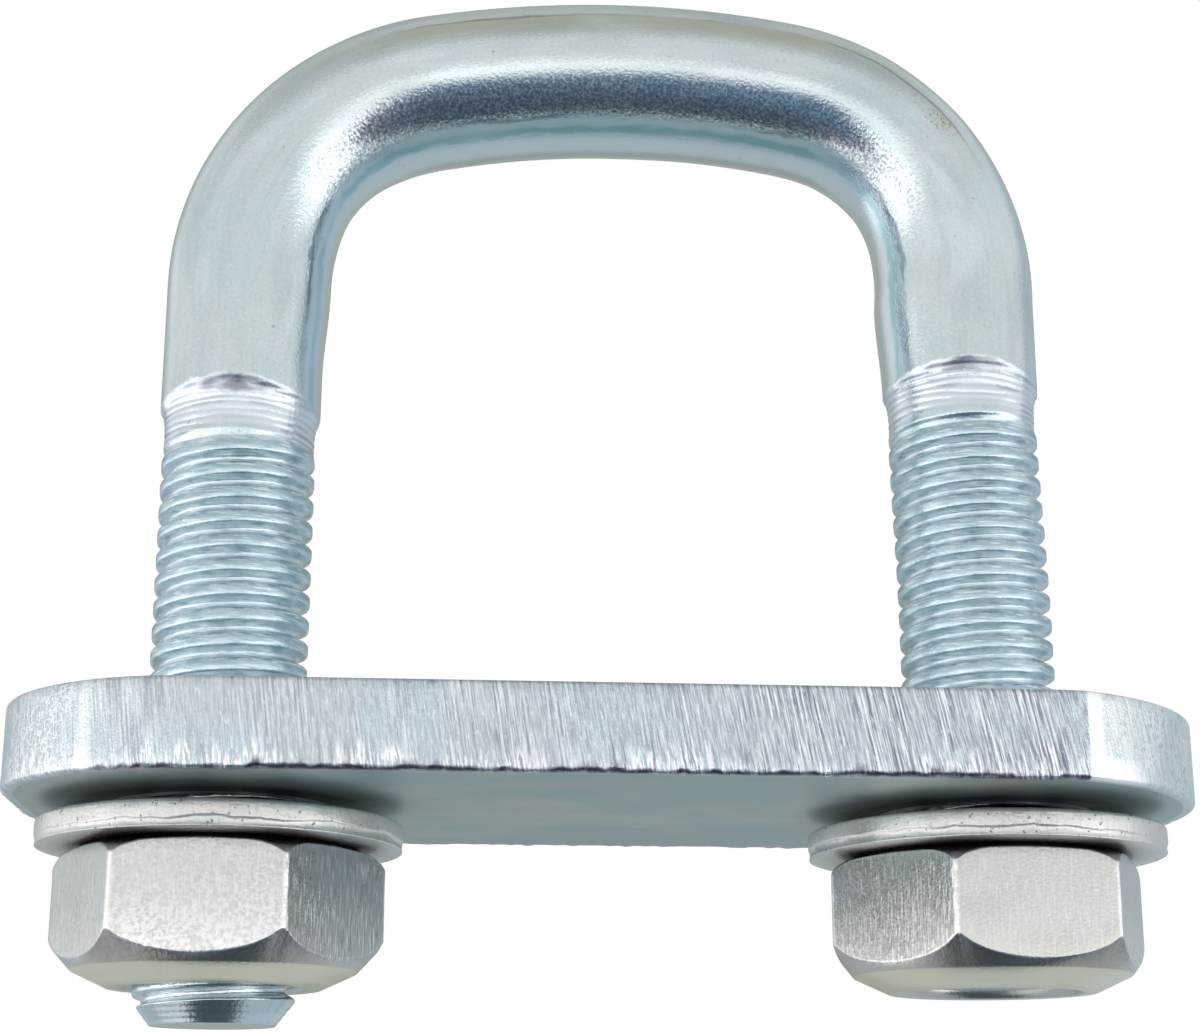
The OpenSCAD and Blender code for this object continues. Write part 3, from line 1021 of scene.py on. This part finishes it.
def paint_thread(zinc):
    """Cool thread with painted shade on the crests' upper parts and white upper crest edges that are partly
    wear and partly a painted highlight, a burnished, ringed run-out above with a painted dark reflection on
    its upper step, and painted shade where the leg passes the plate's lower mouth.
    """
    zinc.paint((0.56, 0.68, 0.73), "thread")
    zinc.paint((0.72, 0.77, 0.82), "runout")
    zinc.paint((0.34, 0.38, 0.46), (zinc.surface(0.4, 1, 900, 3, 12), 0.4, 0.6, 0.3, 0.9), "ring")
    # Painted dark reflection on the run-out's upper step
    zinc.paint((0.26, 0.26, 0.31), (zinc.surface(0.5, 1, 700, 3, 13), 0.42, 0.56, 0.1, 0.85), "step")
    zinc.paint((0.66, 0.74, 0.78), "groove", 0.7)
    # Painted shade on the upper part of each crest
    zinc.paint((0.31, 0.43, 0.48), (zinc.surface(0.4, 1, 700, 3, 19), 0.35, 0.6, 0.55, 0.95), "shade")
    # White upper crest edges: partly wear, partly a painted highlight
    zinc.paint((0.92, 0.91, 0.94), (zinc.surface(0.5, 1, 2400, 3, 7), 0.4, 0.54), "edge")
    rolled = zinc.surface(0.14, 1, 5200, 3, 24)
    zinc.paint((0.27, 0.4, 0.47), (rolled, 0.52, 0.64, 0, 0.6), "thread")
    zinc.paint((0.86, 0.89, 0.93), (rolled, 0.46, 0.34, 0, 0.6), "thread")
    # Painted shade where the leg passes the gap under the plate
    zinc.paint((0.16, 0.18, 0.2), (zinc.surface(1, 1, 650, 4, 23), 0.36, 0.6, 0.15, 0.65), "gap")


def rod_material():
    """Blue zinc on a drawn bar: satin grain, a strip inside the U, a drawing seam, a thread, a few specks."""
    zinc = Metal("zinc_rod", (0.56, 0.65, 0.665))
    cloud = zinc.solid(130, 2)
    lines = zinc.surface(1, 0.05, 2600)
    around = zinc.add("SeparateXYZ", {0: zinc.uv})["X"]
    ragged = zinc.remap(zinc.surface(1, 0.3, 1500, 3, 6), 0.25, 0.75, -0.16 * MM, 0.16 * MM)
    paint_bar(zinc, cloud, lines)
    paint_inner_strip(zinc, cloud, around, ragged)
    seam = paint_seam(zinc, cloud, around, ragged)
    paint_thread(zinc)
    pits = zinc.solid(1500, 1, 2)
    zinc.paint((0.3, 0.34, 0.36), (pits, 0.77, 0.82, 0, 0.7))
    zinc.paint((0.27, 0.2, 0.12), (zinc.solid(4200, 3, 22), 0.54, 0.62), "rust")
    roughness = zinc.remap(cloud, 0.3, 0.7, 0.16, 0.22)
    for mark, rougher in (("runout", 0.24), ("step", 0.42), ("thread", 0.3)):
        roughness = zinc.add("Mix", {0: zinc.mark(mark), 2: roughness, 3: rougher})[0]
    height = zinc.plus(zinc.times(lines, 0.12), zinc.solid(5200))
    height = zinc.calculate("SUBTRACT", height, zinc.times(seam, 0.6))
    return zinc.finish(roughness, height, FINE_RELIEF, BRIGHT)


def plate_wall_material():
    """Sheared steel under zinc: slanted bright and violet lines, a torn lower band, a ground corner, painted
    highlight strips, and painted shade in the holes' lower mouths.
    """
    zinc = Metal("zinc_plate_wall", (0.55, 0.65, 0.69))
    cloud = zinc.solid(160)
    zinc.paint((0.6, 0.65, 0.67), (cloud, 0.35, 0.65))
    streaks = zinc.surface(1, 0.06, 12000, 3, 2)
    zinc.paint((0.33, 0.36, 0.42), (streaks, 0.42, 0.58, 0, 0.95), "score")
    lines = zinc.surface(1, 0.03, 7400, 2.5)
    scored = zinc.share("score", (zinc.surface(1, 0.4, 450, 2, 5), 0.4, 0.6, 0.25, 1))
    zinc.paint((0.2, 0.2, 0.26), (lines, 0.54, 0.6), scored)
    zinc.paint((0.95, 0.95, 0.97), (lines, 0.45, 0.4), scored)
    sparkle = zinc.surface(1, 0.22, 8500, 3, 17)
    zinc.paint((0.9, 0.92, 0.94), (sparkle, 0.56, 0.7, 0, 0.5))
    zinc.paint((0.34, 0.38, 0.42), (sparkle, 0.44, 0.3, 0, 0.5))
    zinc.paint((0.95, 0.95, 0.97), (zinc.surface(1, 0.14, 6500, 3, 8), 0.46, 0.58), "torn")
    # The dark ragged lower brink, which also carries the painted shade in the holes' lower mouths
    zinc.paint((0.17, 0.15, 0.21), (zinc.surface(1, 1, 1600, 3, 11), 0.36, 0.56, 0.5, 1), "brink")
    zinc.paint((0.25, 0.26, 0.28), (zinc.surface(1, 0.6, 1700, 3, 20), 0.6, 0.68, 0, 0.7), "upper_edge")
    ground_lines = zinc.remap(zinc.surface(1, 0.06, 5200, 3, 3), 0.4, 0.65)
    zinc.paint(zinc.blend(ground_lines, (0.76, 0.81, 0.82), (0.6, 0.68, 0.68)), "ground")
    ripple = zinc.solid(2300, 4, 21)
    flakes = zinc.apart(ripple, 0.5)
    zinc.paint((0.95, 0.97, 0.98), (flakes, 0.05, 0, 0, 0.9), (cloud, 0.42, 0.56, 0.15, 1), "corner")
    zinc.paint((0.48, 0.57, 0.57), (ripple, 0.54, 0.68, 0, 0.7), "corner")
    # Painted highlight strips on the ground corner and the front left corner
    zinc.paint((0.97, 0.97, 0.97), "painted_highlight")
    roughness = zinc.remap(cloud, 0.3, 0.7, 0.3, 0.4)
    relief = zinc.times(lines, zinc.plus(zinc.mark("score"), 0.2))
    height = zinc.plus(zinc.times(relief, 1.6), zinc.times(zinc.solid(6500), 0.8))
    return zinc.finish(roughness, height, WALL_RELIEF, BRIGHT)


def plate_face_material():
    """Rolled plate face under dull zinc, mottled, with painted shade: the lower face is a darker copy,
    darkest in the gap where the washers press.
    """
    zinc = Metal("zinc_plate_face", (0.31, 0.45, 0.47))
    cloud = zinc.solid(110, 4)
    mottle = zinc.solid(420, 4, 3, scale_x=0.4)
    rolled = zinc.solid(1400, scale_x=0.05)
    # Painted shade: the lower face gets this darker, greener copy of the upper face's colours
    zinc.paint((0.47, 0.53, 0.51), (cloud, 0.36, 0.62))
    zinc.paint((0.45, 0.44, 0.42), (mottle, 0.46, 0.66, 0, 0.45))
    zinc.paint((0.38, 0.44, 0.45), (rolled, 0.5, 0.75, 0, 0.3))
    lower = zinc.colour
    zinc.colour = (0.5, 0.64, 0.68)
    zinc.paint((0.64, 0.73, 0.75), (cloud, 0.36, 0.62))
    zinc.paint((0.5, 0.56, 0.57), (mottle, 0.46, 0.66, 0, 0.5))
    zinc.paint((0.44, 0.52, 0.55), (rolled, 0.5, 0.75, 0, 0.4))
    split = zinc.add("SeparateXYZ", {0: zinc.place})
    under = zinc.remap(split["Z"], PLATE_BOTTOM * 0.4 * MM, PLATE_BOTTOM * 0.6 * MM)
    zinc.paint(lower, under)
    # Painted shade in the gap around each leg, on the lower face where the washers press
    leg_side = zinc.calculate("SUBTRACT", zinc.calculate("ABSOLUTE", split["X"]), LEG_X * MM)
    squares = zinc.plus(zinc.times(leg_side, leg_side), zinc.times(split["Y"], split["Y"]))
    from_leg = zinc.calculate("SQRT", squares)
    zinc.paint((0.035, 0.075, 0.11), (from_leg, GAP_SHADE_END * MM, GAP_SHADE_FULL * MM), under)
    roughness = zinc.remap(cloud, 0.3, 0.7, 0.34, 0.46)
    height = zinc.plus(zinc.times(rolled, 0.5), zinc.solid(3500, 4))
    return zinc.finish(roughness, height, FINE_RELIEF, DULL)


def washer_material():
    """Warm grey zinc on a punched washer, with small dark pits, and painted shade where the plate and the nut
    press on it.
    """
    zinc = Metal("zinc_washer", (0.62, 0.62, 0.6))
    cloud = zinc.solid(220)
    zinc.paint((0.72, 0.71, 0.69), (cloud, 0.35, 0.65))
    upright = zinc.surface(1, 0.15, 4200, 3, 4)
    zinc.paint((0.5, 0.5, 0.49), (upright, 0.5, 0.7, 0, 0.4))
    pits = zinc.remap(zinc.solid(3600, 2, 2), 0.66, 0.72, 0, 0.8)
    zinc.paint((0.2, 0.19, 0.17), pits)
    # Painted shade where the plate and the nut press
    zinc.paint((0.11, 0.1, 0.1), "painted_shade")
    roughness = zinc.remap(cloud, 0.3, 0.7, 0.26, 0.36)
    height = zinc.plus(zinc.solid(5200), zinc.times(upright, 0.6))
    return zinc.finish(roughness, zinc.calculate("SUBTRACT", height, pits), FINE_RELIEF, DULL)


def nut_material():
    """Warm grey zinc on a nut: upright grain and worn specks on its flats, bright corners, painted shade on
    the upper end under the washer, and a painted dark reflection on the lower chamfer.
    """
    zinc = Metal("zinc_nut", (0.51, 0.51, 0.48))
    cloud = zinc.solid(240)
    zinc.paint((0.57, 0.565, 0.535), (cloud, 0.35, 0.65))
    lines = zinc.surface(1, 0.16, 6500, 4)
    zinc.paint((0.3, 0.32, 0.35), (lines, 0.52, 0.66, 0, 0.75), "grain")
    zinc.paint((0.92, 0.92, 0.93), (lines, 0.46, 0.36, 0, 0.9), "grain")
    specks = zinc.solid(3800, 4, 5)
    zinc.paint((0.88, 0.88, 0.87), (specks, 0.36, 0.62, 0.2, 0.85), "wear")
    zinc.paint((0.32, 0.42, 0.47), "upper", "grain", (cloud, 0.35, 0.6, 0.1, 0.6))
    zinc.paint((0.95, 0.95, 0.95), (specks, 0.34, 0.56, 0.95, 0.35), "edge")
    zinc.paint((0.79, 0.74, 0.58), "ring")
    # Painted dark reflection on the lower chamfer
    zinc.paint((0.17, 0.15, 0.17), (specks, 0.36, 0.62, 0.95, 0.75), "shade")
    # Painted shade on the upper end under the washer
    zinc.paint((0.2, 0.19, 0.14), "painted_shade")
    roughness = zinc.remap(cloud, 0.3, 0.7, 0.24, 0.34)
    relief = zinc.times(lines, zinc.plus(zinc.mark("grain"), 0.2))
    height = zinc.plus(zinc.times(relief, 1.8), zinc.times(zinc.solid(5200), 0.7))
    return zinc.finish(roughness, height, FINE_RELIEF, BRIGHT)


# Stage, light and camera


def build_floor():
    """A plain pale floor that takes the object's shadow. The metal shows the light tent instead."""
    corners = [(-1, -1), (1, -1), (1, 1), (-1, 1)]
    points = [(x * FLOOR_HALF * MM, y * FLOOR_HALF * MM, FLOOR_Z * MM) for x, y in corners]
    mesh = bpy.data.meshes.new("floor")
    mesh.from_pydata(points, [], [(0, 1, 2, 3)])
    material = bpy.data.materials.new("floor_white")
    material.use_nodes = True
    nodes = Nodes(material.node_tree)
    inputs = nodes.tree.nodes["Principled BSDF"].inputs
    nodes.put(inputs["Base Color"], FLOOR_COLOUR)
    nodes.put(inputs["Roughness"], FLOOR_ROUGHNESS)
    seen = nodes.add("LightPath")["Is Camera Ray"]
    nodes.put(inputs["Emission Strength"], nodes.times(seen, FLOOR_LIFT))
    mesh.materials.append(material)
    floor = new_object("floor", mesh)
    floor.visible_glossy = False


def heading(azimuth, elevation):
    """Unit vector of a direction in degrees: azimuth 0 is +X and -90 is towards the viewer."""
    turn, rise = math.radians(azimuth), math.radians(elevation)
    return (math.cos(turn) * math.cos(rise), math.sin(turn) * math.cos(rise), math.sin(rise))


def build_world():
    """A white background, and for the metal a pale light tent with brighter and darker panels."""
    world = bpy.data.worlds.new("tent")
    bpy.context.scene.world = world
    world.use_nodes = True
    nodes = Nodes(world.node_tree)
    direction = nodes.add("TexCoord")["Generated"]
    rise = nodes.add("SeparateXYZ", {0: direction})["Z"]
    tent = nodes.blend(nodes.remap(rise, *ROOF_RISE), TENT_WALL, TENT_ROOF)
    horizon = nodes.times(nodes.remap(rise, *HORIZON_RISE), nodes.remap(rise, *HORIZON_FALL))
    tent = nodes.blend(horizon, tent, HORIZON)
    for azimuth, elevation, full, clear, colour in TENT_PANELS:
        vectors = {0: direction, 1: heading(azimuth, elevation)}
        facing = nodes.add("VectorMath", vectors, operation="DOT_PRODUCT")["Value"]
        share = nodes.remap(facing, math.cos(math.radians(clear)), math.cos(math.radians(full)))
        tent = nodes.blend(share, tent, colour)
    path = nodes.add("LightPath")
    seen = nodes.calculate("MAXIMUM", path["Is Camera Ray"], path["Is Transmission Ray"])
    inputs = nodes.tree.nodes["Background"].inputs
    nodes.put(inputs["Color"], nodes.blend(seen, tent, WHITE))
    nodes.put(inputs["Strength"], 1.0)


def build_lamp():
    """One soft lamp above, which gives the floor its shadow. The metal shows the light tent instead."""
    lamp = bpy.data.lights.new("key", "AREA")
    lamp.energy = LAMP_POWER
    lamp.size = LAMP_SIZE * MM
    holder = new_object("key", lamp)
    holder.location = Vector(LAMP_AT) * MM
    holder.rotation_euler = (-holder.location).to_track_quat("-Z", "Y").to_euler()
    holder.visible_glossy = False


def build_camera():
    """The photograph's camera."""
    camera = bpy.data.cameras.new("camera")
    camera.sensor_width = SENSOR_WIDTH
    camera.lens = FOCAL_PIXELS / IMAGE_WIDTH * SENSOR_WIDTH
    camera.clip_start = CLIP_START * MM
    holder = new_object("camera", camera)
    holder.location = Vector(CAMERA_AT) * MM
    aim = Vector(CAMERA_TO) - Vector(CAMERA_AT)
    holder.rotation_euler = aim.to_track_quat("-Z", "Y").to_euler()
    bpy.context.scene.camera = holder


def stand_for(piece, node):
    """Makes a piece stand for a CAD node and ride on its body."""
    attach(piece, node)
    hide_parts(node)


bpy.context.scene.view_settings.view_transform = "Standard"
build_camera()
build_world()
build_lamp()
build_floor()
stand_for(build_rod(rod_material()), "u_rod")
stand_for(build_plate(plate_wall_material(), plate_face_material()), "clamp_plate")
washer_zinc = washer_material()
nut_zinc = nut_material()
for side in ("left", "right"):
    stand_for(build_washer(side, washer_zinc), "washer_" + side)
    stand_for(build_nut(side, nut_zinc), "nut_" + side)
